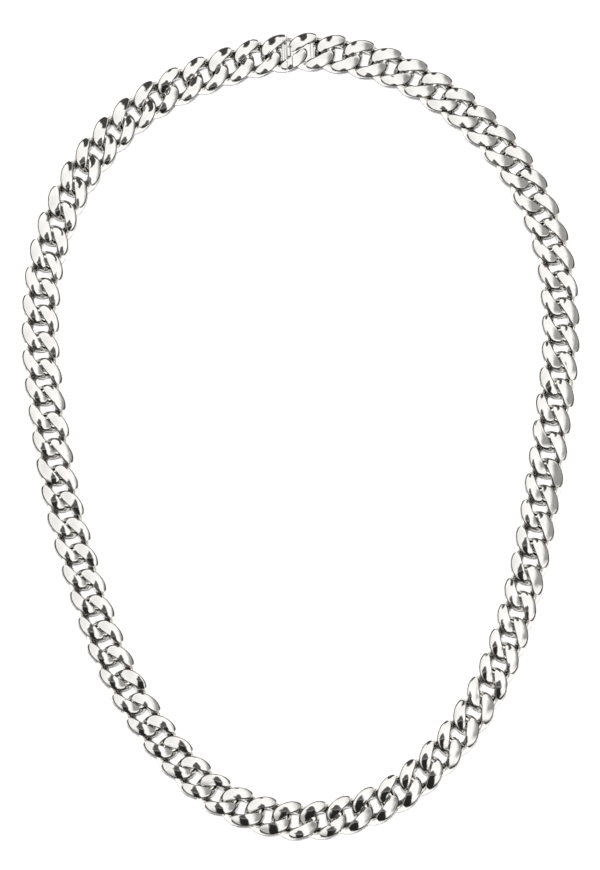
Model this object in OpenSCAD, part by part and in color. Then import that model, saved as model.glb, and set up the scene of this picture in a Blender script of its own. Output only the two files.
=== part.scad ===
// Flat chain necklace: a closed curb chain of twisted, flattened links, fastened by a box clasp
// whose two halves are shaped like two of the links. It lies flat on the plane z = 0.
// Millimetres; +Z is up, +Y points to the clasp, and the origin is below the middle of the loop.

/* [Loop] */
// Length of the whole closed loop along the middle of the chain
loop_length = 500; // [490:1:510]
// Number of links in each half of the chain, from the clasp to the bottom of the loop
half_links = 37; // [36:1:38]

/* [Link] */
// Width of the chain, across a link's two long sides
chain_w = 9.12; // [8.8:0.02:9.2]
// Width of a link's wire along its long sides
side_w = 2.92; // [2.7:0.02:2.92]
// Width of a link's wire at its two ends
end_w = 2.32; // [2.2:0.02:2.34]
// Thickness of the chain, over its polished faces
chain_t = 3.24; // [3.1:0.02:3.3]
// Height that the twist gives the middle of the wire above the middle of the chain
twist_rise = 1.6; // [1.55:0.01:1.7]
// Play between the ends of two hooked links, along the chain
play = 0.42; // [0.3:0.02:0.5]
// Number of straight sides round a link
link_sides = 16; // [10:2:16]

/* [Polished face] */
// Direction in which a polished face falls away, in degrees from the run of the chain
fall_turn = 62; // [50:1:70]
// Curve of a polished face in that direction, one over its radius
fall_curve = 0.085; // [0.06:0.005:0.1]
// Place of the top of a polished face in that direction, from the middle of the link
fall_top = -0.6; // [-1:0.1:0]
// Smallest angle that the top of the wire's six-sided section spans, in degrees
top_span = 60; // [50:5:70]

/* [Clasp] */
// Width of the box across the chain
box_w = 5; // [4.8:0.1:5.2]
// Height of the box above the surface that the necklace lies on
box_h = 2.6; // [2.6:0.05:2.7]
// Thickness of the box's walls
box_wall = 0.5; // [0.45:0.05:0.5]
// Width of the slot that shows between the two halves of the clasp
seam = 0.25; // [0.2:0.05:0.3]
// Distance from the middle of the clasp to the slot, along the chain
seam_place = 2.7; // [2.6:0.05:2.8]
// Thickness of the spring leaf
leaf_t = 0.4; // [0.35:0.05:0.45]
// Clearance round the leaf in the box
leaf_gap = 0.15; // [0.12:0.01:0.2]
// Width of the thumb tab across the chain
tab_w = 2.6; // [2.4:0.1:2.8]
// Length of the thumb tab along the chain
tab_l = 0.8; // [0.7:0.05:0.9]
// Height of the thumb tab above the surface that the necklace lies on
tab_h = 3; // [2.9:0.05:3.1]

/* [Hidden] */

// The line along which the middle of the chain lies, seen from above: points about 21 mm apart,
// from the bottom of the loop up its right side, over the top and down its left side.
// Columns: x to the right, y towards the clasp.
lay = [
    [1, -94], [21, -88.5], [36.5, -74.5], [47, -57], [53.5, -37], [57.5, -16.5],
    [60.5, 4], [62.5, 24.5], [60.5, 45.5], [52.5, 64.5], [38.5, 80], [20.5, 90.5],
    [0, 94], [-20, 89.5], [-38.5, 80], [-52.5, 64.5], [-60.5, 45.5], [-62.5, 24.5],
    [-60.5, 4], [-57, -16.5], [-51.5, -36.5], [-44.5, -56], [-33.5, -74], [-18.5, -88.5]
];
lay_steps = 24;
lay_count = len(lay);
sample_count = lay_count * lay_steps;

// A link's share of the loop, and how far the first link lies from the start of the lay.
places = 2 * half_links + 2;
pitch = loop_length / places;
first_place = 0.65 * pitch;
box_place = half_links;
tongue_place = half_links + 1;

// The ring that the wire of a link follows, seen from above.
ring_a = (pitch + end_w + play) / 2;
ring_b = (chain_w - side_w) / 2;
top_z = chain_t / 2;
turn_step = 360 / link_sides;

// A smooth curve through the points of the lay; s counts the points.
function lay_row(i) = lay[(i + lay_count) % lay_count];
function lay_point(s) =
    let (
        i = floor(s),
        f = s - i,
        p0 = lay_row(i - 1),
        p1 = lay_row(i),
        p2 = lay_row(i + 1),
        p3 = lay_row(i + 2)
    )
    (2 * p1 + (p2 - p0) * f + (2 * p0 - 5 * p1 + 4 * p2 - p3) * f^2 + (3 * p1 - p0 - 3 * p2 + p3) * f^3) / 2;

// Distance along the lay at each sample, against s.
samples = [for (i = [0:sample_count]) lay_point(i / lay_steps)];
distances = [
    for (i = 0, d = 0; i <= sample_count; d = d + norm(samples[min(i + 1, sample_count)] - samples[i]), i = i + 1)
        [d, i / lay_steps]
];
lay_scale = loop_length / distances[sample_count][0];

// Place of a link by its number along the loop: its middle, and the direction of the chain there.
function lay_at(d) = lay_scale * lay_point(lookup(d / lay_scale, distances));
function link_place(k) =
    let (
        d = first_place + k * pitch,
        run = lay_at(d + pitch / 2) - lay_at(d - pitch / 2)
    )
    [lay_at(d), atan2(run.y, run.x)];

// The clasp's two link places, and its own frame, which runs straight from one to the other.
box_at = link_place(box_place)[0];
tongue_at = link_place(tongue_place)[0];
clasp_mid = (box_at + tongue_at) / 2;
clasp_turn = atan2((tongue_at - box_at).y, (tongue_at - box_at).x);

// The wire of a link at the angle t round it, in the link's own frame: u along the chain, v to the
// inside of the loop. The twist lifts one quarter of the ring on each side and lowers the others.
function wire_mid(t) = [ring_a * cos(t), ring_b * sin(t), -twist_rise * sin(2 * t)];
function wire_out(t) = [ring_b * cos(t), ring_a * sin(t)] / norm([ring_b * cos(t), ring_a * sin(t)]);
function wire_slope(t) = -2 * twist_rise * cos(2 * t) / norm([ring_b * cos(t), ring_a * sin(t)]);
function wire_half(t) = (end_w + (side_w - end_w) * sin(t)^2) / 2;
function wire_deep(t) = wire_half(t) * sqrt(1 + wire_slope(t)^2);

// Height of the polished face of the lobe at v > 0, with its slopes along u and v.
function face_height(u, v) =
    let (fall = u * cos(fall_turn) + v * sin(fall_turn) - fall_top)
    [top_z - fall_curve * fall^2 / 2, -fall_curve * fall * cos(fall_turn), -fall_curve * fall * sin(fall_turn)];

// The two angles, from the top of the wire, between which the polished face cuts it: first the edge
// inside the ring, then the edge outside. The lobe at v < 0 is the other one turned by half a turn.
function face_angles(t) =
    let (
        side = t > 45 && t < 225 ? 1 : -1,
        mid = wire_mid(t),
        out = wire_out(t),
        face = face_height(side * mid.x, side * mid.y),
        tilt = side * (face[1] * out.x + face[2] * out.y) * wire_half(t),
        reach = norm([wire_deep(t), tilt]),
        lean = atan2(tilt, wire_deep(t)),
        depth = min(1, (face[0] - mid.z) / reach),
        half = max(acos(depth), top_span / 2)
    )
    [-lean - half, -lean + half];

// A point of the wire's outline at the angle a from its top; up = -1 turns it over.
function wire_point(t, a, up) =
    let (out = wire_half(t) * sin(a) * wire_out(t))
    wire_mid(t) + [out.x, out.y, up * wire_deep(t) * cos(a)];

// Six points round the wire: two on the polished face, one on each side, two on the lower face.
function wire_section(t) =
    let (
        top = face_angles(t),
        low = face_angles((360 - t) % 360)
    )
    [
        wire_point(t, top[0], 1),
        wire_point(t, top[1], 1),
        wire_point(t, 90, 1),
        wire_point(t, low[1], -1),
        wire_point(t, low[0], -1),
        wire_point(t, -90, 1)
    ];
link_points = [for (i = [0:link_sides - 1]) each wire_section(i * turn_step)];
link_faces = [
    for (i = [0:link_sides - 1], j = [0:5])
        let (
            a = 6 * i + j,
            b = 6 * i + (j + 1) % 6,
            c = 6 * ((i + 1) % link_sides) + (j + 1) % 6,
            d = 6 * ((i + 1) % link_sides) + j
        )
        each [[a, c, b], [a, d, c]]
];

// Height of the middle of a link that lies on the surface. Its lowest corners skim just above the
// flat underside of the clasp's box.
skim = 0.01;
link_lift = max([for (p = link_points) p.z]) + skim;

// Moves a point of a link's own frame to its place on the loop.
function turned(p, turn) = [p.x * cos(turn) - p.y * sin(turn), p.x * sin(turn) + p.y * cos(turn)];
function reach_of(mid, turn) = [for (p = link_points) mid + turned(p, turn)];

// The middle of the box round the whole loop, which goes to the origin.
outline = [
    for (k = [0:places - 1])
        let (place = link_place(k))
        each reach_of(place[0], place[1])
];
loop_mid = [
    (min([for (p = outline) p.x]) + max([for (p = outline) p.x])) / 2,
    (min([for (p = outline) p.y]) + max([for (p = outline) p.y])) / 2
];

// One link in its own frame, lying on the surface.
module link() {
    translate([0, 0, link_lift])
        polyhedron(points = link_points, faces = link_faces, convexity = 6);
}

// Puts its children at a place on the loop.
module at_place(mid, turn) {
    translate([mid.x - loop_mid.x, mid.y - loop_mid.y, 0])
        rotate(turn)
            children();
}

// One link at its place on the loop, by its number.
module link_number(k) {
    place = link_place(k);
    at_place(place[0], place[1])
        link();
}

// A run of links from one number to another.
module links(first, last) {
    for (k = [first:last])
        link_number(k);
}

module chain_right() {
    color("silver")
        links(0, box_place - 1);
}

module chain_left() {
    color("silver")
        links(tongue_place + 1, places - 1);
}

// The rest is in the clasp's own frame, with the two link places half a pitch from its middle.
box_place_u = -pitch / 2;
tongue_place_u = pitch / 2;
box_front = seam_place - seam / 2;
plate_back = seam_place + seam / 2;
// Both halves stay this far from the middle of their link place, clear of the link that hooks in.
hook_clear = 0.5;
box_back = box_place_u - hook_clear;
plate_front = tongue_place_u + hook_clear;
// The plate across the tongue half is this much narrower than the box on each side.
plate_inset = 0.3;
plate_w = box_w - 2 * plate_inset;
// Longer than anything that it cuts through.
cut = 20;

// Inside of the box.
room_w = box_w - 2 * box_wall;
room_low = box_wall;
room_high = box_h - box_wall;
room_back = box_back + box_wall;

// Spring leaf: a lower and an upper leaf, folded at the far end.
leaf_w = room_w - 2 * leaf_gap;
leaf_low = room_low + leaf_gap;
leaf_high = room_high - leaf_gap;
fold_r = (leaf_high - leaf_low) / 2;
fold_u = room_back + 2 * leaf_gap + fold_r;
fold_z = (leaf_high + leaf_low) / 2;
// The lower leaf runs into the plate this far.
plate_hold = 0.4;

// Thumb tab, and the notch in the box's top that it stands in.
tab_front = box_front - leaf_gap;
tab_back = tab_front - tab_l;
notch_back = tab_back - leaf_gap;
notch_w = tab_w + 2 * leaf_gap;
tab_round = 0.35;

module clasp_frame() {
    at_place(clasp_mid, clasp_turn)
        children();
}

// A block given by its lowest and highest places along the chain and up, centred across it.
module block(back, front, width, low, high) {
    clasp_frame()
        translate([back, -width / 2, low])
            cube([front - back, width, high - low]);
}

// Gives an outline seen from the side, with u to the right and z up, its width across the chain.
module across(width) {
    clasp_frame()
        translate([0, width / 2, 0])
            rotate([90, 0, 0])
                linear_extrude(width)
                    children();
}

// The spring leaf seen from the side: two leaves joined by the fold, the lower one held in the plate.
module leaf_outline() {
    difference() {
        union() {
            translate([fold_u, fold_z])
                circle(r = fold_r, $fn = 48);
            translate([fold_u, leaf_low])
                square([tab_front - fold_u, leaf_high - leaf_low]);
            translate([fold_u, leaf_low])
                square([plate_back + plate_hold - fold_u, leaf_t]);
        }
        translate([fold_u, fold_z])
            circle(r = fold_r - leaf_t, $fn = 48);
        translate([fold_u, leaf_low + leaf_t])
            square([cut, leaf_high - leaf_low - 2 * leaf_t]);
    }
}

// The thumb tab rises from the end of the upper leaf and is rounded along its upper edge.
module tab_outline() {
    translate([tab_back, leaf_high - leaf_t])
        square([tab_l, tab_h - tab_round - leaf_high + leaf_t]);
    for (u = [tab_back + tab_round, tab_front - tab_round])
        translate([u, tab_h - tab_round])
            circle(r = tab_round, $fn = 32);
    translate([tab_back + tab_round, tab_h - 2 * tab_round])
        square([tab_l - 2 * tab_round, 2 * tab_round]);
}

// The box half: the whole link at its place, the near part of the next one, and the hollow box.
module clasp_box() {
    color("silver")
        difference() {
            union() {
                link_number(box_place);
                intersection() {
                    link_number(tongue_place);
                    block(-cut, box_front, cut, -cut, cut);
                }
                block(box_back, box_front, box_w, 0, box_h);
            }
            block(room_back, cut, room_w, room_low, room_high);
            block(notch_back, cut, notch_w, room_low, cut);
        }
}

// The tongue half: the far part of its link, a plate across it, the spring leaf and the thumb tab.
module clasp_tongue() {
    color("silver") {
        intersection() {
            link_number(tongue_place);
            block(plate_back, cut, cut, -cut, cut);
        }
        block(plate_back, plate_front, plate_w, 0, box_h);
        across(leaf_w)
            leaf_outline();
        across(tab_w)
            tab_outline();
    }
}

chain_right();
chain_left();
clasp_box();
clasp_tongue();
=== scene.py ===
"""A flat chain necklace of polished silver that lies closed on a pale table.

The loop is a curb chain of twisted, flattened links with domed and polished faces. A box clasp, whose two
halves are shaped like two of the links, closes it. Every link stands where a solid of the frame stands.
"""

import logging
import math
import random
from dataclasses import dataclass, field
from enum import Enum

import bmesh
import bpy
from bmesh.types import BMesh, BMFace, BMVert
from bpy.types import Material, NodeSocket, Object
from mathutils import Matrix, Vector


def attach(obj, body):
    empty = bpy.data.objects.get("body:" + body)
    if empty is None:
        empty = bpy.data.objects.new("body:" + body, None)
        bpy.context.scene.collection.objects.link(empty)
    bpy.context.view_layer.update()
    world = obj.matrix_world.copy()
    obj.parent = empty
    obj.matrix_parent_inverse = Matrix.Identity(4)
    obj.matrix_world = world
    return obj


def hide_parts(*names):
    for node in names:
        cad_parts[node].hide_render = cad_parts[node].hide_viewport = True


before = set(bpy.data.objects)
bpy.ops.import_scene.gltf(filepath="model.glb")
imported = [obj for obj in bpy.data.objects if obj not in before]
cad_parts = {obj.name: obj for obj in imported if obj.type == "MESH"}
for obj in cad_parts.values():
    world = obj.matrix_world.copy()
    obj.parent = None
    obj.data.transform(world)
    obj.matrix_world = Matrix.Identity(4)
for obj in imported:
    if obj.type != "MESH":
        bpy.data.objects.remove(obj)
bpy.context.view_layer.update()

MM = 0.001
TURN = 2 * math.pi
FACE_ENDS = TURN / 8  # the angle round a link at which one lobe's face gives way to the other's
MERGE = 1e-8  # points of a mesh that are closer than this are one
SOLID_MERGE = 1e-6  # the same for a solid of the frame
NO_FACE = 1e-6  # a face that takes a smaller angle of the wire isn't there
HALVINGS = 40  # steps in the search for the angle at which a face closes
LOOP_LENGTH = 500 * MM
LINK_PLACES = 76
# name of the mesh layer that holds the painted shade
PAINTED_EDGE_SHADE = "painted_edge_shade"
WHITE = (1.0, 1.0, 1.0, 1.0)
Feed = NodeSocket | float | tuple[float, ...]
Range = tuple[float, float]
Triple = tuple[float, float, float]
log = logging.getLogger("necklace")


class Node(Enum):
    """The frame's nodes, by the piece that stands for each."""

    CHAIN_RIGHT = "chain_right"
    CHAIN_LEFT = "chain_left"
    CLASP_BOX = "clasp_box"
    CLASP_TONGUE = "clasp_tongue"


class Lobe(Enum):
    """The two polished faces of a link: the one towards the inside of the loop, and the one outside."""

    INNER = 1
    OUTER = -1


Tops = dict[Lobe, Vector]  # how far the highest point of each face has wandered in polishing


def mix(a: float, b: float, share: float) -> float:
    """Returns the value that lies at a share of the way from a to b."""
    return a + (b - a) * share


def ease(x: float, low: float, high: float) -> float:
    """Returns a smooth rise from 0 at low to 1 at high, read at x."""
    f = min(1.0, max(0.0, (x - low) / (high - low)))
    return f * f * (3 - 2 * f)


@dataclass(frozen=True)
class Place:
    """Where a link lies: its middle, and the direction of the chain there."""

    middle: Vector
    turn: float

    def matrix(self) -> Matrix:
        """Returns the transform from the link's own frame to the necklace."""
        return Matrix.Translation(self.middle) @ Matrix.Rotation(self.turn, 4, "Z")


@dataclass
class Recipe:
    """The nodes of a finish or a light, each fed by plain values or by other nodes' sockets."""

    tree: bpy.types.NodeTree

    def feed(self, node: bpy.types.Node, feeds: dict[str | int, Feed]) -> bpy.types.Node:
        """Feeds a node.

        Args:
            node: The node.
            feeds: What goes into it, by the name or the number of its input.

        Returns:
            The same node.
        """
        for key, value in feeds.items():
            if isinstance(value, NodeSocket):
                self.tree.links.new(value, node.inputs[key])
            else:
                node.inputs[key].default_value = value
        return node

    def add(self, kind: str, feeds: dict[str | int, Feed] | None = None) -> bpy.types.Node:
        """Returns a new node of a kind, fed."""
        return self.feed(self.tree.nodes.new("ShaderNode" + kind), feeds or {})

    def noise(self, where: Feed, scale: float, detail: float) -> bpy.types.Node:
        """Returns a node of soft noise."""
        return self.add("TexNoise", {"Vector": where, "Scale": scale, "Detail": detail})

    def run(self, operation: str, *values: Feed) -> NodeSocket:
        """Adds one Math node.

        Args:
            operation: The node's operation.
            values: Its inputs.

        Returns:
            The result's socket.
        """
        node = self.tree.nodes.new("ShaderNodeMath")
        node.operation = operation
        return self.feed(node, dict(enumerate(values))).outputs["Value"]

    def blend(self, kind: str, share: Feed, a: Feed, b: Feed) -> NodeSocket:
        """Mixes two values.

        Args:
            kind: What they are: RGBA or FLOAT.
            share: How much of the second one there is.
            a: The first.
            b: The second.

        Returns:
            The result's socket.
        """
        node = self.tree.nodes.new("ShaderNodeMix")
        node.data_type = kind
        return self.feed(node, {"Factor": share, "A": a, "B": b}).outputs["Result"]

    def rise(self, value: Feed, span: Range, to: Range = (0, 1), kind: str = "SMOOTHSTEP") -> NodeSocket:
        """Maps a range of a value to another range, and holds it there.

        Args:
            value: Where the rise is read.
            span: Where it starts and ends.
            to: The results there.
            kind: The way in which it rises.

        Returns:
            The result's socket.
        """
        ends = {"From Min": span[0], "From Max": span[1], "To Min": to[0], "To Max": to[1]}
        node = self.add("MapRange", {"Value": value, **ends})
        node.interpolation_type = kind
        return node.outputs["Result"]


@dataclass(frozen=True)
class PolishedSilver:
    """Bright polished silver, with faint polishing lines, a slight ripple left by the hammer, and painted shade
    where the mesh's shade layer asks for it.
    """

    name: str = "bright_silver"
    colour: tuple[float, ...] = (0.965, 0.95, 0.92, 1.0)
    shade: tuple[float, ...] = (0.91, 0.89, 0.85, 1.0)
    # the dark colour of the painted shade
    painted_shade: tuple[float, ...] = (0.06, 0.055, 0.05, 1.0)
    haze_scale: float = 420.0
    haze_detail: float = 4.0
    haze_rough: Range = (0.35, 0.7)
    haze_dark: Range = (0.35, 0.6)
    roughness: Range = (0.03, 0.075)
    painted_shade_cover: Range = (0.75, 1.0)
    ripple_scale: float = 520.0
    ripple_detail: float = 1.0
    ripple_depth: float = 0.03 * MM
    line_scale: Triple = (6000.0, 900.0, 2500.0)
    line_turn: Triple = (0.0, 0.0, 0.6)
    line_detail: float = 2.0
    line_depth: float = 0.0006 * MM

    def material(self) -> Material:
        """Builds the finish as a material that reads the position on the object.

        Returns:
            The material.
        """
        mat = bpy.data.materials.new(self.name)
        mat.use_nodes = True
        silver = Recipe(mat.node_tree)
        where = silver.add("TexCoord").outputs["Object"]
        haze = silver.noise(where, self.haze_scale, self.haze_detail).outputs["Fac"]
        rough = silver.rise(haze, self.haze_rough, self.roughness, "LINEAR")
        tint = silver.blend("RGBA", haze, self.colour, self.shade)
        # Painted shade: the mesh's edge shade layer, thinned a little by the haze, darkens the tint towards the
        # painted-shade colour. It stands in for dark reflections and shade beside the faces and in the clasp's
        # hollows.
        edge = silver.add("Attribute")
        edge.attribute_name = PAINTED_EDGE_SHADE
        patchy = silver.rise(haze, self.haze_dark, self.painted_shade_cover, "LINEAR")
        dark = silver.run("MULTIPLY", edge.outputs["Fac"], patchy)
        tint_with_painted_shade = silver.blend("RGBA", dark, tint, self.painted_shade)
        ripple = silver.noise(where, self.ripple_scale, self.ripple_detail).outputs["Fac"]
        wave = silver.add("Bump", {"Distance": self.ripple_depth, "Height": ripple}).outputs["Normal"]
        drawn = silver.add("Mapping", {"Vector": where, "Scale": self.line_scale, "Rotation": self.line_turn})
        lines = silver.noise(drawn.outputs["Vector"], 1.0, self.line_detail).outputs["Fac"]
        scratch = silver.add("Bump", {"Distance": self.line_depth, "Height": lines, "Normal": wave})
        silver.feed(mat.node_tree.nodes["Principled BSDF"], {
            "Metallic": 1.0, "Roughness": rough, "Base Color": tint_with_painted_shade, "Normal": scratch.outputs["Normal"],
        })
        return mat


@dataclass(frozen=True)
class Span:
    """The stretch of the wire's outline that a polished face takes, as angles from the wire's top.

    The two rounds are how far the shoulders beside the face reach down the wire, as angles too.
    """

    inner: float
    outer: float
    inner_round: float
    outer_round: float


@dataclass(frozen=True)
class LinkForm:
    """The form of one link in its own frame: u along the chain, v to the inside of the loop, z up."""

    pitch: float
    chain_w: float = 9.12 * MM
    side_w: float = 2.92 * MM
    end_w: float = 2.32 * MM
    chain_t: float = 3.24 * MM
    twist_rise: float = 1.6 * MM
    play: float = 0.42 * MM
    fall_turn: float = math.radians(62)
    fall_curve: float = 0.085 / MM
    fall_top: float = -0.6 * MM
    dome_u: float = -2.03 * MM
    dome_v: float = 2.22 * MM
    dome_curve_u: float = 0.05 / MM
    dome_curve_v: float = 0.085 / MM
    chord_round: float = 0.18 * MM
    outer_round: float = 0.30 * MM
    most_down: float = 0.4
    most_across: float = 0.25
    lip_reach: float = 0.40 * MM
    lip_end: float = 0.10 * MM
    wall_flat: float = 0.3
    wall_follows: int = 3
    lean_fade: float = math.radians(18)
    face_fade: float = math.radians(20)
    lip_grows: Range = (math.radians(52), math.radians(90))
    lip_end_grows: Range = (math.radians(100), math.radians(138))
    lip_fade: float = 0.15
    rub_turn: Range = (-0.15, 0.45)
    rub_part: Range = (0.1, 0.35)
    # Painted shade: how dark the outer and inner walls are painted, how dark the shoulders beside the faces are
    # painted, and how fast that fades.
    outer_shade: float = 0.12
    inner_shade: float = 0.05
    wall_shade: float = 0.65
    shade_power: int = 8
    shade_fade: Range = (0.1, 0.8)
    stations: int = 60
    tip_stations: int = 4
    tip_clear: float = 0.4
    least_step: float = 0.02
    face_columns: int = 5
    shoulder_columns: int = 2
    wall_columns: int = 5

    @property
    def ring_a(self) -> float:
        """Half the length of the ring that the wire follows, seen from above."""
        return (self.pitch + self.end_w + self.play) / 2

    @property
    def ring_b(self) -> float:
        """Half the width of that ring."""
        return (self.chain_w - self.side_w) / 2

    @property
    def columns(self) -> int:
        """Number of points round the wire: two faces and two walls with both their ends, and four shoulders."""
        return 2 * (self.face_columns + 1) + 2 * (self.wall_columns + 1) + 4 * self.shoulder_columns

    def middle(self, t: float) -> Vector:
        """Returns the middle of the wire at an angle round the link."""
        return Vector((self.ring_a * math.cos(t), self.ring_b * math.sin(t), -self.twist_rise * math.sin(2 * t)))

    def outward(self, t: float) -> Vector:
        """Returns the level direction across the wire, away from the ring."""
        return Vector((self.ring_b * math.cos(t), self.ring_a * math.sin(t), 0)).normalized()

    def half_width(self, t: float) -> float:
        """Returns half the wire's width, which grows from the ends to the sides."""
        return mix(self.end_w, self.side_w, math.sin(t) ** 2) / 2

    def half_depth(self, t: float) -> float:
        """Returns half the wire's height where a plumb cut meets it, which grows with the wire's slope."""
        run = Vector((self.ring_b * math.cos(t), self.ring_a * math.sin(t))).length
        return self.half_width(t) * math.hypot(1, 2 * self.twist_rise * math.cos(2 * t) / run)

    @staticmethod
    def lobe(t: float) -> Lobe:
        """Returns the lobe whose polished face is the nearer one at an angle round the link."""
        return Lobe.INNER if FACE_ENDS < t % TURN < FACE_ENDS + TURN / 2 else Lobe.OUTER

    def span(self, t: float) -> Span:
        """Works out the stretch of the wire that the face takes; it is nothing where the wire stays round.

        Args:
            t: Angle round the link.

        Returns:
            The stretch.
        """
        lobe, mid, out = self.lobe(t), self.middle(t), self.outward(t)
        fall, height = self.fall(mid.x, mid.y, lobe), self.cut(mid.x, mid.y, lobe)
        way = math.cos(self.fall_turn) * out.x + math.sin(self.fall_turn) * out.y
        tilt = -self.fall_curve * fall * lobe.value * way * self.half_width(t)
        reach = math.hypot(self.half_depth(t), tilt)
        lean = math.atan2(tilt, self.half_depth(t)) * self.open_share(t, self.lean_fade)
        half = math.acos(min(1.0, (height - mid.z) / reach))
        rounds = (min(r / self.half_width(t), self.most_down * half) for r in (self.chord_round, self.outer_round))
        return Span(-lean - half, -lean + half, *rounds)

    @staticmethod
    def past(t: float) -> float:
        """Returns how far an angle lies past the last one at which a lobe's face ends."""
        return (t - FACE_ENDS) % (TURN / 2)

    def open_share(self, t: float, width: float) -> float:
        """Returns 1, or less near the two angles where the one lobe's face gives way to the other's."""
        return ease(min(self.past(t), TURN / 2 - self.past(t)), 0.0, width)

    def on_wire(self, t: float, angle: float) -> Vector:
        """Returns a point on the wire before polishing, at an angle from its top, outward positive."""
        out = self.outward(t) * (self.half_width(t) * math.sin(angle))
        return self.middle(t) + out + Vector((0, 0, self.half_depth(t) * math.cos(angle)))

    def dome(self, u: float, v: float, lobe: Lobe, tops: Tops) -> float:
        """Returns the height of a lobe's domed face.

        Args:
            u: Place along the chain.
            v: Place across it.
            lobe: Which of the two faces.
            tops: Where the faces' highest points have wandered.

        Returns:
            The height above the middle of the link.
        """
        du = lobe.value * u - self.dome_u - tops[lobe].x
        dv = lobe.value * v - self.dome_v - tops[lobe].y
        return self.chain_t / 2 - (self.dome_curve_u * du * du + self.dome_curve_v * dv * dv) / 2

    def fall(self, u: float, v: float, lobe: Lobe) -> float:
        """Returns how far a place lies from where a lobe's cut is highest, in the way that the cut falls."""
        return lobe.value * (u * math.cos(self.fall_turn) + v * math.sin(self.fall_turn)) - self.fall_top

    def cut(self, u: float, v: float, lobe: Lobe) -> float:
        """Returns the height at which a lobe was cut down before its face was domed."""
        fall = self.fall(u, v, lobe)
        return self.chain_t / 2 - self.fall_curve * fall * fall / 2

    def lip(self, t: float, span: Span) -> Vector:
        """Works out how far a face reaches over the wire's inner side, towards the face of the next link.

        Args:
            t: Angle round the link.
            span: The stretch of the wire that the face takes.

        Returns:
            The shift of the face's inner edge.
        """
        grown = ease(self.past(t), *self.lip_grows)
        reach = self.lip_reach + self.lip_end * ease(self.past(t), *self.lip_end_grows)
        width = ease((span.outer - span.inner) / 2, 0.0, self.lip_fade)
        return self.outward(t) * (-reach * grown * width)

    def face(self, t: float, span: Span, tops: Tops) -> tuple[list[Vector], list[Vector], list[Vector]]:
        """Works out the polished face at one station.

        Args:
            t: Angle round the link.
            span: The stretch of the wire that the face takes.
            tops: Where the faces' highest points have wandered.

        Returns:
            The points from the inner edge to the outer one, the two corners that the shoulders round off,
            and how far each of these has moved from the round wire.
        """
        lobe = self.lobe(t)
        first, last = self.on_wire(t, span.inner), self.on_wire(t, span.outer)
        share = self.open_share(t, self.face_fade)
        shifts = []
        for p, over in ((first, self.lip(t, span)), (last, Vector())):
            lift = (self.dome(p.x, p.y, lobe, tops) - self.cut(p.x, p.y, lobe)) * share
            shifts.append(over + Vector((0, 0, lift)))
            p += shifts[-1]
        wide = (last - first).length
        rounds = (self.chord_round, self.outer_round)
        low, high = (min(r / wide, self.most_across) if wide > MERGE else 0.0 for r in rounds)
        points = []
        for k in range(self.face_columns + 1):
            p = first.lerp(last, mix(low, 1 - high, k / self.face_columns))
            if wide > MERGE:
                p.z = mix(p.z, self.dome(p.x, p.y, lobe, tops), share)
            points.append(p)
        return points, [first, last], shifts

    def shoulder(self, start: Vector, corner: Vector, end: Vector) -> list[Vector]:
        """Returns the points that round off the corner between a face's end and a wall's start, or the reverse."""
        shares = (k / (self.shoulder_columns + 1) for k in range(1, self.shoulder_columns + 1))
        return [start.lerp(corner, f).lerp(corner.lerp(end, f), f) for f in shares]

    def section(self, t: float, tops: Tops) -> list[Vector]:
        """Returns the points round the wire at one station: face, outer wall, lower face, inner wall.

        Args:
            t: Angle round the link.
            tops: Where the faces' highest points have wandered.

        Returns:
            As many points as the link has columns.
        """
        top, low = self.span(t), self.span(-t)
        upper, corners, up = self.face(t, top, tops)
        turned, low_corners, down = self.face(-t, low, tops)
        over = Vector((1, -1, -1))
        lower = [p * over for p in turned]
        half = TURN / 2
        inside = (top.inner - top.inner_round, -TURN / 4, low.inner_round - low.inner - half)
        outside = (top.outer + top.outer_round, TURN / 4, half - low.outer - low.outer_round)
        inner, outer = (self.wall(t, a, (u, d * over)) for a, u, d in zip((inside, outside), up, down))
        result = upper + self.shoulder(upper[-1], corners[1], outer[0]) + outer
        result += self.shoulder(outer[-1], low_corners[1] * over, lower[-1]) + lower[::-1]
        result += self.shoulder(lower[0], low_corners[0] * over, inner[-1]) + inner[::-1]
        return result + self.shoulder(inner[0], corners[0], upper[0])

    def wall(self, t: float, angles: Triple, shifts: tuple[Vector, Vector]) -> list[Vector]:
        """Works out a wall between two faces: round, but flattened where the next link rubs on it.

        Args:
            t: Angle round the link.
            angles: The wall's start, its widest place and its end, as angles from the wire's top.
            shifts: How far the face at each end has moved from the round wire.

        Returns:
            The points from the start, which is above, to the end below.
        """
        start, side, end = angles
        side = min(max(side, min(start, end)), max(start, end))
        knots = [self.on_wire(t, a) for a in (start, side, end)]
        above, below = (ease(math.sin(twice), *self.rub_turn) for twice in (2 * t, -2 * t))
        points = []
        for k in range(self.wall_columns + 1):
            f = k / self.wall_columns
            a = mix(start, end, f)
            if abs(a - start) < abs(side - start):
                straight = knots[0].lerp(knots[1], (a - start) / (side - start))
            else:
                straight = knots[2].lerp(knots[1], (end - a) / (end - side) if end != side else 0.0)
            rub = max(above * ease(1 - f, *self.rub_part), below * ease(f, *self.rub_part))
            p = self.on_wire(t, a).lerp(straight, self.wall_flat * rub)
            points.append(p + shifts[0] * (1 - f) ** self.wall_follows + shifts[1] * f ** self.wall_follows)
        return points

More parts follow.
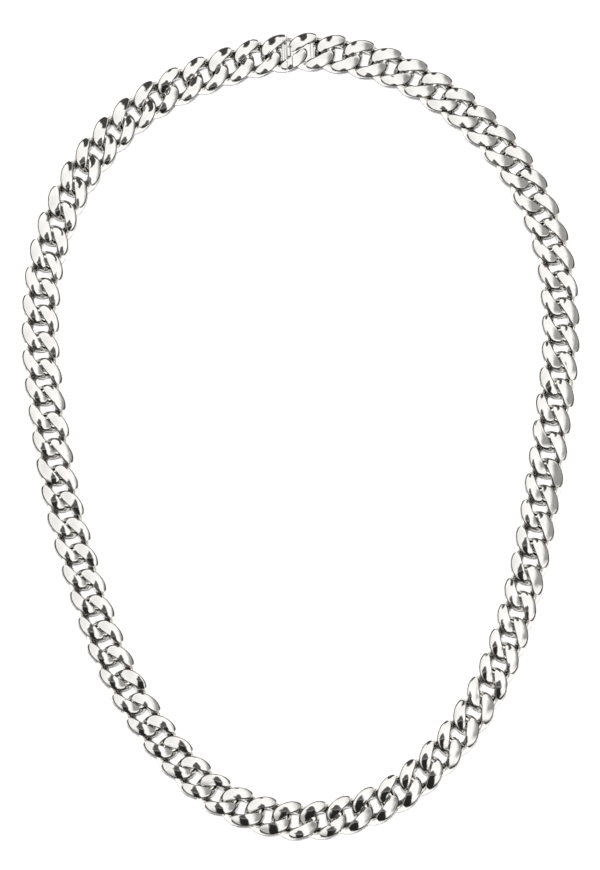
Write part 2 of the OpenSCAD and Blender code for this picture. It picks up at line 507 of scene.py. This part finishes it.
    def shades(self, t: float) -> list[float]:
        """Works out the painted shade at one station: darkest at the shoulders beside the faces, where it stands
        in for the dark reflections there.

        Args:
            t: Angle round the link.

        Returns:
            A share for each point of the section, in the same order.
        """
        spans = self.span(t), self.span(-t)
        top, low = (ease(span.outer - span.inner, *self.shade_fade) for span in spans)
        walls = []
        steps = [k / self.wall_columns for k in range(self.wall_columns + 1)]
        for plain in (self.outer_shade, self.inner_shade):
            edges = (max(top * (1 - f) ** self.shade_power, low * f ** self.shade_power) for f in steps)
            walls.append([max(plain, self.wall_shade * edge) for edge in edges])
        face = [0.0] * (self.face_columns + 1)
        upper, lower = [top] * self.shoulder_columns, [low] * self.shoulder_columns
        return face + upper + walls[0] + lower + face + lower + walls[1][::-1] + upper

    def tips(self) -> list[tuple[float, int]]:
        """Finds where the faces close to a tip or a rounded end.

        Returns:
            The angle of each, above and below, and the sense in which the face lies from it.
        """
        every = []
        for far, way in ((FACE_ENDS, 1), (FACE_ENDS + TURN / 2 - NO_FACE, -1)):
            near = FACE_ENDS + TURN / 4
            for _ in range(HALVINGS):
                t = (near + far) / 2
                span = self.span(t)
                if span.outer - span.inner > NO_FACE:
                    near = t
                else:
                    far = t
            every += [(near, way), (near + TURN / 2, way), (-near, -way), (TURN / 2 - near, -way)]
        return [(t % TURN, way) for t, way in every]

    def angles(self) -> list[float]:
        """Spreads the stations: even ones, and closer ones where a face closes.

        Returns:
            The angles round the link, in order.
        """
        step = TURN / self.stations
        close = []
        for t, way in self.tips():
            close += [(t + way * step * (k / self.tip_stations) ** 2) % TURN for k in range(self.tip_stations + 1)]
        even = [k * step for k in range(self.stations)]

        def apart(a: float, b: float) -> float:
            """Returns the angle between two stations, the shorter way round."""
            d = abs(a - b) % TURN
            return min(d, TURN - d)

        kept = [t for t in even if all(apart(t, c) > self.tip_clear * step for c in close)]
        result = []
        for t in sorted(kept + close):
            if not result or apart(t, result[-1]) > self.least_step * step:
                result.append(t)
        return result

    def mesh(self, tops: Tops, angles: list[float]) -> BMesh:
        """Builds one closed link: a circle is spun into a ring, and each point goes to its place on the form.

        Args:
            tops: Where the faces' highest points have wandered.
            angles: The stations round the link.

        Returns:
            The link in its own frame.
        """
        bm = bmesh.new()
        ring = bmesh.ops.create_circle(bm, segments=self.columns, radius=self.end_w / 2)["verts"]
        bmesh.ops.rotate(bm, verts=ring, cent=(0, 0, 0), matrix=Matrix.Rotation(TURN / 4, 3, "X"))
        bmesh.ops.translate(bm, verts=ring, vec=(self.ring_a, 0, 0))
        bmesh.ops.spin(
            bm, geom=ring + list(bm.edges), cent=(0, 0, 0), axis=(0, 0, 1), dvec=(0, 0, 0), angle=TURN,
            space=Matrix.Identity(4), steps=len(angles), use_merge=True, use_normal_flip=False,
            use_duplicate=False,
        )
        sections = [self.section(t, tops) for t in angles]
        shades = [self.shades(t) for t in angles]
        # Painted shade: each point of the link carries its share in a mesh layer.
        shade = bm.verts.layers.float.new(PAINTED_EDGE_SHADE)
        for v in bm.verts:
            i = round((math.atan2(v.co.y, v.co.x) % TURN) / TURN * len(angles)) % len(angles)
            r = math.hypot(v.co.x, v.co.y) - self.ring_a
            j = round((math.atan2(v.co.z, r) % TURN) / TURN * self.columns) % self.columns
            v.co, v[shade] = sections[i][j], shades[i][j]
        for f in bm.faces:
            f.smooth = True
        return closed(bm)


def loose_solids(node: Node) -> list[list[Vector]]:
    """Reads a node's solids.

    Args:
        node: A node of the frame that holds loose links.

    Returns:
        The corners of each solid.
    """
    bm = bmesh.new()
    bm.from_mesh(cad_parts[node.value].data)
    bmesh.ops.remove_doubles(bm, verts=bm.verts, dist=SOLID_MERGE)
    seen: set[BMVert] = set()
    solids = []
    for first in bm.verts:
        if first in seen:
            continue
        stack, corners = [first], []
        seen.add(first)
        while stack:
            v = stack.pop()
            corners.append(v.co.copy())
            near = [w for w in (e.other_vert(v) for e in v.link_edges) if w not in seen]
            seen.update(near)
            stack += near
        solids.append(corners)
    bm.free()
    return solids


def link_place(corners: list[Vector]) -> Place:
    """Finds where a link lies: its middle, and its longer direction seen from above.

    Args:
        corners: The corners of the link's solid.

    Returns:
        The place, turned within half a turn; a link is the same turned by half a turn.
    """
    middle = sum(corners, Vector()) / len(corners)
    xx = sum((c.x - middle.x) ** 2 for c in corners)
    yy = sum((c.y - middle.y) ** 2 for c in corners)
    xy = sum((c.x - middle.x) * (c.y - middle.y) for c in corners)
    return Place(middle, math.atan2(2 * xy, xx - yy) / 2)


def chain_places(node: Node) -> list[Place]:
    """Puts a chain's links in the order of the loop, from the bottom round the right side.

    Args:
        node: The half of the chain.

    Returns:
        The links' places, each turned along the loop.
    """
    places = [link_place(corners) for corners in loose_solids(node)]
    places.sort(key=lambda p: math.atan2(p.middle.x, p.middle.y) % TURN, reverse=True)
    result = []
    for k, place in enumerate(places):
        other = places[k + 1].middle if k + 1 < len(places) else place.middle * 2 - places[k - 1].middle
        run = other - place.middle
        turn = place.turn
        if math.cos(turn) * run.x + math.sin(turn) * run.y < 0:
            turn += TURN / 2
        result.append(Place(place.middle, turn))
    return result


def closed(bm: BMesh) -> BMesh:
    """Merges the points of a mesh that meet, and turns its faces outwards.

    Args:
        bm: The mesh.

    Returns:
        The same mesh.
    """
    bmesh.ops.remove_doubles(bm, verts=bm.verts, dist=MERGE)
    bmesh.ops.recalc_face_normals(bm, faces=bm.faces)
    return bm


def written(name: str, bm: BMesh) -> bpy.types.Mesh:
    """Writes a mesh out, with its points and faces in an order that is the same each run.

    Args:
        name: Its name.
        bm: The mesh, which is freed.

    Returns:
        What was written.
    """
    for row, key in ((bm.verts, lambda v: v.co[:]), (bm.faces, lambda f: sorted(v.index for v in f.verts))):
        for k, item in enumerate(sorted(row, key=key)):
            item.index = k
    bm.verts.sort()
    bm.faces.sort()
    mesh = bpy.data.meshes.new(name)
    bm.to_mesh(mesh)
    bm.free()
    return mesh


def placed(name: str, data: bpy.types.ID) -> Object:
    """Puts a new object into the scene.

    Args:
        name: Its name.
        data: Its mesh, camera or lamp.

    Returns:
        The object, at the origin and unturned.
    """
    made = bpy.data.objects.new(name, data)
    bpy.context.scene.collection.objects.link(made)
    return made


def finished(name: str, bm: BMesh, material: Material) -> Object:
    """Turns a mesh that already lies in its place into an object of the scene.

    Args:
        name: The object's name.
        bm: The mesh, which is freed.
        material: Its finish.

    Returns:
        The object, at the origin and unturned.
    """
    mesh = written(name, bm)
    mesh.materials.append(material)
    return placed(name, mesh)


def block(low: Triple, high: Triple, edge: float = 0.0, segments: int = 2) -> BMesh:
    """Builds a block.

    Args:
        low: Its lowest corner.
        high: Its highest corner.
        edge: How far its edges are rounded off.
        segments: Number of steps in that rounding.

    Returns:
        The closed block.
    """
    middle, size = (Vector(low) + Vector(high)) / 2, Vector(high) - Vector(low)
    bm = bmesh.new()
    bmesh.ops.create_cube(bm, size=1.0, matrix=Matrix.Translation(middle) @ Matrix.Diagonal((*size, 1.0)))
    if edge > 0:
        bmesh.ops.bevel(
            bm, geom=list(bm.edges), offset=edge, offset_type="OFFSET", segments=segments, profile=0.5,
            affect="EDGES", material=-1,
        )
    return bm


def drawn_out(bm: BMesh, faces: list[BMFace], run: float) -> list[BMFace]:
    """Draws faces of a mesh out along the chain.

    Args:
        bm: The mesh.
        faces: The faces.
        run: How far they are drawn.

    Returns:
        The faces at the new end.
    """
    made = bmesh.ops.extrude_face_region(bm, geom=faces)["geom"]
    bmesh.ops.translate(bm, verts=[g for g in made if isinstance(g, BMVert)], vec=(run, 0, 0))
    return [g for g in made if isinstance(g, BMFace)]


def cut_off(bm: BMesh, at: float, side: int) -> None:
    """Cuts a closed mesh off across the chain and closes it again.

    Args:
        bm: The mesh.
        at: Where the plane lies along the chain.
        side: Which side goes: 1 beyond the plane, -1 before it.
    """
    geom = list(bm.verts) + list(bm.edges) + list(bm.faces)
    bmesh.ops.bisect_plane(bm, geom=geom, dist=MERGE, plane_co=(at, 0, 0), plane_no=(side, 0, 0), clear_outer=True)
    for f in bmesh.ops.holes_fill(bm, edges=[e for e in bm.edges if e.is_boundary], sides=0)["faces"]:
        f.smooth = False


def drop_doubled(bm: BMesh) -> None:
    """Takes out pairs of faces that lie back to back on the same corners, and the edges that only they had.

    Args:
        bm: The mesh.
    """
    same: dict[frozenset[BMVert], list[BMFace]] = {}
    for f in bm.faces:
        same.setdefault(frozenset(f.verts), []).append(f)
    doubled = [f for faces in same.values() if len(faces) > 1 for f in faces]
    bmesh.ops.delete(bm, geom=doubled, context="FACES_ONLY")
    bmesh.ops.delete(bm, geom=[e for e in bm.edges if not e.link_faces], context="EDGES")
    bmesh.ops.delete(bm, geom=[v for v in bm.verts if not v.link_faces], context="VERTS")


def soldered(parts: list[BMesh], cutters: list[BMesh]) -> BMesh:
    """Unites closed meshes into one solid and cuts others out of it.

    Args:
        parts: The meshes that stay, which are freed.
        cutters: The meshes that are cut out, which are freed too.

    Returns:
        The one closed solid.
    """
    steps = []
    for bm in parts + cutters:
        bmesh.ops.scale(bm, vec=(1 / MM,) * 3, verts=bm.verts)
        steps.append(placed("step", written("step", bm)))
    base = steps[0]
    for k, other in enumerate(steps[1:], start=1):
        joint = base.modifiers.new("joint", "BOOLEAN")
        joint.operation = "UNION" if k < len(parts) else "DIFFERENCE"
        joint.solver = "MANIFOLD"
        joint.object = other
    made = bpy.data.meshes.new_from_object(base.evaluated_get(bpy.context.evaluated_depsgraph_get()))
    for mesh in [step.data for step in steps]:
        bpy.data.meshes.remove(mesh)
    bm = bmesh.new()
    bm.from_mesh(made)
    bpy.data.meshes.remove(made)
    bmesh.ops.scale(bm, vec=(MM,) * 3, verts=bm.verts)
    bmesh.ops.dissolve_degenerate(bm, dist=MERGE, edges=bm.edges)
    bmesh.ops.triangulate(bm, faces=[f for f in bm.faces if len(f.verts) > 4])
    drop_doubled(bm)
    # No painted shade on the points that touch the flat cut faces.
    shade = bm.verts.layers.float[PAINTED_EDGE_SHADE]
    for v in bm.verts:
        if any(not f.smooth for f in v.link_faces):
            v[shade] = 0.0
    for e in bm.edges:
        e.smooth = all(f.smooth for f in e.link_faces)
    return bm


def painted_shade(bm: BMesh, low: Triple, high: Triple) -> None:
    """Paints shade on the points of a mesh that lie within a box, as dark as the painted shade goes.

    Args:
        bm: The mesh, which has the layer of shades.
        low: The box's lowest corner.
        high: Its highest corner.
    """
    shade = bm.verts.layers.float[PAINTED_EDGE_SHADE]
    for v in bm.verts:
        if all(a - MERGE <= x <= b + MERGE for a, x, b in zip(Vector(low), v.co, Vector(high))):
            v[shade] = 1.0


def piece_for(node: Node, name: str, bm: BMesh, material: Material) -> Object:
    """Makes the piece that rides on the necklace in place of a node, with the silver's slot.

    Args:
        node: The node that it stands for.
        name: The piece's name.
        bm: Its mesh, which already lies in its place and is freed.
        material: Its finish.

    Returns:
        The piece.
    """
    piece = finished(name, bm, material)
    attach(piece, "root")
    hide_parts(node.value)
    return piece


@dataclass
class Polisher:
    """Gives each link its own faces: no two were ground alike."""

    seed: int
    wander: float = 0.45 * MM
    draws: random.Random = field(init=False)

    def __post_init__(self) -> None:
        """Starts the row of draws."""
        self.draws = random.Random(self.seed)

    def tops(self) -> Tops:
        """Draws how far the highest point of each face of the next link has wandered."""
        draw = self.draws.gauss
        return {lobe: Vector((draw(0, self.wander), draw(0, self.wander), 0)) for lobe in Lobe}


@dataclass
class ChainHalf:
    """One half of the chain: 37 links, each hooked into the next."""

    node: Node
    form: LinkForm
    places: list[Place]
    polisher: Polisher

    def build(self, material: Material) -> Object:
        """Builds the links at their places and joins them into one object.

        Args:
            material: The silver.

        Returns:
            The half of the chain.
        """
        whole = bmesh.new()
        angles = self.form.angles()
        for place in self.places:
            link = self.form.mesh(self.polisher.tops(), angles)
            bmesh.ops.transform(link, matrix=place.matrix(), verts=link.verts)
            step = written("link", link)
            whole.from_mesh(step)
            bpy.data.meshes.remove(step)
        return piece_for(self.node, f"{self.node.value}_links", whole, material)


@dataclass(frozen=True)
class ClaspForm:
    """Where the clasp lies, and the sizes that its two halves share.

    Its own frame has u along the chain from the box's link to the tongue's, v to the inside of the loop, and
    z up from the table.
    """

    box_link: Place = Place(Vector((2.597, 93.912, 1.641)) * MM, math.radians(178.377))
    tongue_link: Place = Place(Vector((-3.969, 93.620, 1.641)) * MM, math.radians(186.870))
    half_pitch: float = LOOP_LENGTH / LINK_PLACES / 2
    box_w: float = 5.0 * MM
    box_h: float = 2.6 * MM
    box_wall: float = 0.5 * MM
    seam: float = 0.25 * MM
    seam_place: float = 2.7 * MM
    hook_clear: float = 0.5 * MM
    leaf_t: float = 0.4 * MM
    leaf_gap: float = 0.15 * MM

    @property
    def box_front(self) -> float:
        """Where the box half ends at the seam."""
        return self.seam_place - self.seam / 2

    @property
    def plate_back(self) -> float:
        """Where the tongue half starts beyond the seam."""
        return self.seam_place + self.seam / 2

    @property
    def box_back(self) -> float:
        """Where the box ends at the far side from the seam."""
        return -self.half_pitch - self.hook_clear

    @property
    def room_back(self) -> float:
        """Where the hollow of the box ends."""
        return self.box_back + self.box_wall

    def matrix(self) -> Matrix:
        """Works out the transform from the clasp's frame to the necklace.

        Returns:
            The transform.
        """
        a, b = self.box_link.middle, self.tongue_link.middle
        run, middle = b - a, (b + a) / 2
        return Matrix.Translation((middle.x, middle.y, 0)) @ Matrix.Rotation(math.atan2(run.y, run.x), 4, "Z")

    def link(self, place: Place, form: LinkForm, tops: Tops) -> BMesh:
        """Builds one of the clasp's two links.

        Args:
            place: Where it lies in the necklace.
            form: The form of a link.
            tops: Where the faces' highest points have wandered.

        Returns:
            The closed link in the clasp's frame.
        """
        bm = form.mesh(tops, form.angles())
        bmesh.ops.transform(bm, matrix=self.matrix().inverted() @ place.matrix(), verts=bm.verts)
        return bm


@dataclass
class ClaspBox:
    """The box half: one whole link, the near part of the next one, and the hollow box soldered between them."""

    clasp: ClaspForm
    form: LinkForm
    polisher: Polisher
    round_edge: float = 0.08 * MM
    cut_reach: float = 10 * MM
    notch_w: float = 2.9 * MM
    notch_back: float = 1.475 * MM
    collar_line: Range = (1.30 * MM, 1.48 * MM)
    collar_depth: float = 2.8 * MM
    back_line: Range = (-3.16 * MM, -3.06 * MM)
    back_depth: float = 0.07 * MM

    def build(self, material: Material) -> Object:
        """Builds the half at its place.

        Args:
            material: The silver.

        Returns:
            The box half.
        """
        c, far = self.clasp, self.cut_reach
        near = c.link(c.tongue_link, self.form, self.polisher.tops())
        cut_off(near, c.box_front, 1)
        half, room, notch = c.box_w / 2, c.box_w / 2 - c.box_wall, self.notch_w / 2
        roof, collar, groove = c.box_h - c.box_wall, self.collar_depth, c.box_h - self.back_depth
        shell = block((c.box_back, -half, 0), (c.box_front, half, c.box_h), self.round_edge)
        room_low = (c.room_back, -room, c.box_wall)
        collar_low, line_low = (self.collar_line[0], 0, collar), (self.back_line[0], -room, groove)
        cutters = [
            block(room_low, (far, room, roof)),
            block((self.notch_back, -notch, c.box_wall), (far, notch, far)),
            block(collar_low, (self.collar_line[1], far, far)),
            block(line_low, (self.back_line[1], room, far)),
        ]
        whole = soldered([c.link(c.box_link, self.form, self.polisher.tops()), near, shell], cutters)
        # Painted shade: the collar groove, the groove at the back and the hollow of the box are darkened fully, as
        # shade would darken them.
        painted_shade(whole, collar_low, (self.collar_line[1], far, collar))
        painted_shade(whole, line_low, (self.back_line[1], room, groove))
        painted_shade(whole, room_low, (c.box_front - c.seam, room, roof))
        bmesh.ops.transform(whole, matrix=c.matrix(), verts=whole.verts)
        return piece_for(Node.CLASP_BOX, "clasp_box_half", whole, material)


@dataclass
class ClaspTongue:
    """The tongue half: the far part of its link, a plate across it, the folded spring leaf and the thumb tab."""

    clasp: ClaspForm
    form: LinkForm
    polisher: Polisher
    plate_w: float = 4.4 * MM
    plate_h: float = 2.1 * MM
    plate_round: float = 0.05 * MM
    rib_back: float = 3.15 * MM
    rib_h: float = 2.75 * MM
    rib_round: float = 0.18 * MM
    rib_steps: int = 4
    plate_hold: float = 0.4 * MM
    fold_steps: int = 12
    tab_w: float = 2.6 * MM
    tab_back: float = 1.625 * MM
    tab_front: float = 2.72 * MM
    tab_h: float = 3.0 * MM
    tab_round: float = 0.3 * MM
    tab_steps: int = 5

    def leaf(self) -> BMesh:
        """Builds the spring leaf: its end is drawn back to the fold, turned over there, and drawn to the plate.

        Returns:
            The closed leaf in the clasp's frame.
        """
        c = self.clasp
        low, high = c.box_wall + c.leaf_gap, c.box_h - c.box_wall - c.leaf_gap
        half, radius = c.box_w / 2 - c.box_wall - c.leaf_gap, (high - low) / 2
        fold = c.room_back + 2 * c.leaf_gap + radius
        upper_end = c.box_front - c.leaf_gap
        bm = bmesh.new()
        at = Matrix.Translation((upper_end, 0, high - c.leaf_t / 2)) @ Matrix.Rotation(TURN / 4, 4, "Y")
        made = bmesh.ops.create_grid(bm, x_segments=1, y_segments=1, size=0.5)
        bmesh.ops.scale(bm, vec=(c.leaf_t, 2 * half, 1), verts=made["verts"])
        bmesh.ops.transform(bm, matrix=at, verts=made["verts"])
        end = drawn_out(bm, list(bm.faces), fold - upper_end)
        turned = bmesh.ops.spin(
            bm, geom=end, cent=(fold, 0, (low + high) / 2), axis=(0, 1, 0), dvec=(0, 0, 0), angle=-TURN / 2,
            space=Matrix.Identity(4), steps=self.fold_steps, use_merge=False, use_normal_flip=False,
            use_duplicate=False,
        )
        end = [g for g in turned["geom_last"] if isinstance(g, BMFace)]
        drawn_out(bm, end, c.plate_back + self.plate_hold - fold)
        inner = [f for f in bm.faces if all(not e.is_boundary and len(e.link_faces) > 2 for e in f.edges)]
        bmesh.ops.delete(bm, geom=inner, context="FACES_ONLY")
        return closed(bm)

    def build(self, material: Material) -> Object:
        """Builds the half at its place.

        Args:
            material: The silver.

        Returns:
            The tongue half.
        """
        c = self.clasp
        far_part = c.link(c.tongue_link, self.form, self.polisher.tops())
        cut_off(far_part, c.plate_back, -1)
        half, front = self.plate_w / 2, c.half_pitch + c.hook_clear
        plate = block((c.plate_back, -half, 0), (front, half, self.plate_h), self.plate_round)
        rib_low, rib_high = (self.rib_back, -half, c.leaf_t), (front, half, self.rib_h)
        rib = block(rib_low, rib_high, self.rib_round, self.rib_steps)
        tab_low = (self.tab_back, -self.tab_w / 2, c.box_h - c.box_wall - c.leaf_gap - c.leaf_t)
        tab = block(tab_low, (self.tab_front, self.tab_w / 2, self.tab_h), self.tab_round, self.tab_steps)
        whole = soldered([far_part, plate, rib, self.leaf(), tab], [])
        bmesh.ops.transform(whole, matrix=c.matrix(), verts=whole.verts)
        return piece_for(Node.CLASP_TONGUE, "clasp_tongue_half", whole, material)


@dataclass(frozen=True)
class CeilingPatch:
    """A soft-edged patch of the ceiling: a band whose middle and half width change evenly along it."""

    near: float
    far: float
    middle: Range
    half: Range
    soft: float
    glow: float


@dataclass(frozen=True)
class Lamp:
    """A distant lamp straight above the table: how widely its light spreads, and its power."""

    name: str
    spread: float
    power: float


@dataclass
class Studio:
    """A pale table under a soft ceiling with darker bands, and the camera above it."""

    pixel: float = 0.2398 * MM
    photo_h: int = 870
    sensor_w: float = 36.0
    elevation: float = math.radians(79)
    distance: float = 4.0
    sight: float = 50.0
    aim: Vector = field(default_factory=lambda: Vector((-0.144, -0.105, 1.62)) * MM)
    ceiling_height: float = 0.74
    ceiling_half: float = 0.9
    ceiling_dim: float = 0.025
    room_glow: Range = (0.10, 0.70)
    room_foot: Range = (0.05, 0.18)
    room_top: Range = (0.45, 0.62)
    swells: tuple[tuple[float, ...], ...] = ((9.0, 4.0, 0.6, 0.07), (-5.0, 11.0, 1.4, 0.06))
    waver_scale: float = 5.0
    waver: float = 0.12
    waver_detail: float = 1.0
    floor_half: float = 15.0
    floor_colour: tuple[float, ...] = (0.92, 0.92, 0.92, 1.0)
    floor_rough: float = 0.9
    floor_gloss: float = 0.1
    patches: tuple[CeilingPatch, ...] = (
        CeilingPatch(-0.42, 0.68, (0.0, 0.0), (0.54, 0.54), 0.10, 1.02),
        CeilingPatch(-0.46, -0.10, (-0.35, -0.35), (0.25, 0.25), 0.16, 0.52),
        CeilingPatch(-0.08, 0.50, (0.50, 0.52), (0.34, 0.32), 0.12, 0.34),
        CeilingPatch(-0.50, -0.26, (0.22, 0.22), (0.14, 0.12), 0.08, 0.12),
        CeilingPatch(-0.02, 0.12, (-0.045, -0.025), (0.10, 0.025), 0.03, 0.09),
        CeilingPatch(-0.60, -0.02, (-0.02, -0.03), (0.15, 0.085), 0.035, 0.02),
        CeilingPatch(0.33, 0.80, (-0.045, -0.10), (0.025, 0.18), 0.04, 0.05),
    )
    lamp_height: float = 2.0
    overhead: Lamp = Lamp("overhead", math.radians(12), 2.9)
    fill: Lamp = Lamp("fill", math.radians(70), 0.6)

    def camera(self) -> None:
        """Sets the camera at the photograph's angle, far off with a long lens."""
        data = bpy.data.cameras.new("camera")
        data.sensor_width = self.sensor_w
        data.lens = self.distance * self.sensor_w / (self.photo_h * self.pixel)
        data.clip_end = self.sight
        cam = placed("camera", data)
        back = Vector((0, -math.cos(self.elevation), math.sin(self.elevation)))
        cam.location = self.aim + back * self.distance
        cam.rotation_euler = (-back).to_track_quat("-Z", "Y").to_euler()
        bpy.context.scene.camera = cam

    @staticmethod
    def plane(name: str, half: float, height: float, material: Material) -> Object:
        """Adds a level square that belongs to the studio.

        Args:
            name: The object's name.
            half: Half its side.
            height: How high it lies.
            material: Its finish.

        Returns:
            The square.
        """
        bm = bmesh.new()
        bmesh.ops.create_grid(bm, x_segments=1, y_segments=1, size=half)
        bmesh.ops.translate(bm, verts=bm.verts, vec=(0, 0, height))
        piece = finished(name, bm, material)
        return piece

    def floor(self) -> None:
        """Lays the pale table."""
        mat = bpy.data.materials.new("pale_table")
        mat.use_nodes = True
        Recipe(mat.node_tree).feed(mat.node_tree.nodes["Principled BSDF"], {
            "Base Color": self.floor_colour, "Roughness": self.floor_rough, "Specular IOR Level": self.floor_gloss,
        })
        self.plane("table", self.floor_half, 0.0, mat)

    def ceiling(self) -> None:
        """Hangs the ceiling that the faces mirror; the camera and the table look through it."""
        mat = bpy.data.materials.new("soft_ceiling")
        mat.use_nodes = True
        mat.node_tree.nodes.clear()
        glow = Recipe(mat.node_tree)
        where = glow.add("TexCoord").outputs["Object"]
        wave = glow.noise(where, self.waver_scale, self.waver_detail)
        shift = mat.node_tree.nodes.new("ShaderNodeVectorMath")
        shift.operation = "MULTIPLY_ADD"
        glow.feed(shift, {0: wave.outputs["Color"], 1: (self.waver,) * 3, 2: where})
        split = glow.add("SeparateXYZ", {"Vector": shift.outputs["Vector"]})
        x, y = (glow.run("SUBTRACT", split.outputs[k], self.waver / 2) for k in ("X", "Y"))
        total: Feed = self.ceiling_dim
        for patch in self.patches:
            blur = patch.soft / 2
            come = glow.rise(y, (patch.near - blur, patch.near + blur))
            go = glow.rise(glow.run("MULTIPLY", y, -1.0), (-patch.far - blur, -patch.far + blur))
            along = glow.run("MULTIPLY", come, go)
            share = glow.run("DIVIDE", glow.run("SUBTRACT", y, patch.near), patch.far - patch.near)
            middle, half = (glow.run("MULTIPLY_ADD", share, b - a, a) for a, b in (patch.middle, patch.half))
            inside = glow.run("SUBTRACT", half, glow.run("ABSOLUTE", glow.run("SUBTRACT", x, middle)))
            cover = glow.run("MULTIPLY", along, glow.rise(inside, (-blur, blur)))
            total = glow.blend("FLOAT", cover, total, patch.glow)
        for per_x, per_y, start, height in self.swells:
            phase = glow.run("MULTIPLY_ADD", x, per_x, glow.run("MULTIPLY_ADD", y, per_y, start))
            total = glow.run("MULTIPLY", total, glow.run("MULTIPLY_ADD", glow.run("SINE", phase), height, 1.0))
        light = glow.add("Emission", {"Strength": total})
        glow.add("OutputMaterial", {"Surface": light.outputs["Emission"]})
        piece = self.plane("ceiling", self.ceiling_half, self.ceiling_height, mat)
        piece.visible_camera = piece.visible_diffuse = piece.visible_shadow = False

    def lamps(self) -> None:
        """Lights the whole table evenly from above, down into the links' holes and under the links."""
        for lamp in (self.overhead, self.fill):
            data = bpy.data.lights.new(lamp.name, "SUN")
            data.angle = lamp.spread
            data.energy = lamp.power
            hung = placed(lamp.name, data)
            hung.location = (0, 0, self.lamp_height)
            hung.visible_camera = hung.visible_glossy = False

    def surroundings(self) -> None:
        """Makes the room: a light band above the horizon, dark over it, and plain white to the camera."""
        world = bpy.data.worlds.new("room")
        world.use_nodes = True
        world.node_tree.nodes.clear()
        glow = Recipe(world.node_tree)
        where = glow.add("TexCoord").outputs["Generated"]
        height = glow.add("SeparateXYZ", {"Vector": where}).outputs["Z"]
        fall = glow.rise(glow.run("MULTIPLY", height, -1.0), (-self.room_top[1], -self.room_top[0]))
        band = glow.run("MULTIPLY", glow.rise(height, self.room_foot), fall)
        dark, light = self.room_glow
        strength = glow.run("MULTIPLY_ADD", band, light - dark, dark)
        room = glow.add("Background", {"Color": WHITE, "Strength": strength}).outputs["Background"]
        plain = glow.add("Background", {"Color": WHITE}).outputs["Background"]
        ray = glow.add("LightPath").outputs["Is Camera Ray"]
        either = glow.add("MixShader", {0: ray, 1: room, 2: plain})
        glow.add("OutputWorld", {"Surface": either.outputs["Shader"]})
        bpy.context.scene.world = world

    def build(self) -> None:
        """Sets up the whole studio."""
        self.camera()
        self.floor()
        self.ceiling()
        self.lamps()
        self.surroundings()
        bpy.context.scene.view_settings.view_transform = "Standard"


def main() -> None:
    """Builds the necklace and its studio, and reports each piece."""
    logging.basicConfig(level=logging.INFO, format="%(message)s")
    Studio().build()
    silver = PolishedSilver().material()
    right, left = chain_places(Node.CHAIN_RIGHT), chain_places(Node.CHAIN_LEFT)
    form, clasp = LinkForm(pitch=LOOP_LENGTH / LINK_PLACES), ClaspForm()
    parts: list[ChainHalf | ClaspBox | ClaspTongue] = [
        ChainHalf(Node.CHAIN_RIGHT, form, right, Polisher(3)),
        ChainHalf(Node.CHAIN_LEFT, form, left, Polisher(4)),
        ClaspBox(clasp, form, Polisher(15)),
        ClaspTongue(clasp, form, Polisher(14)),
    ]
    for part in parts:
        piece = part.build(silver)
        log.info("%s: %d triangles", piece.name, sum(len(p.vertices) - 2 for p in piece.data.polygons))


if __name__ == "__main__":
    main()
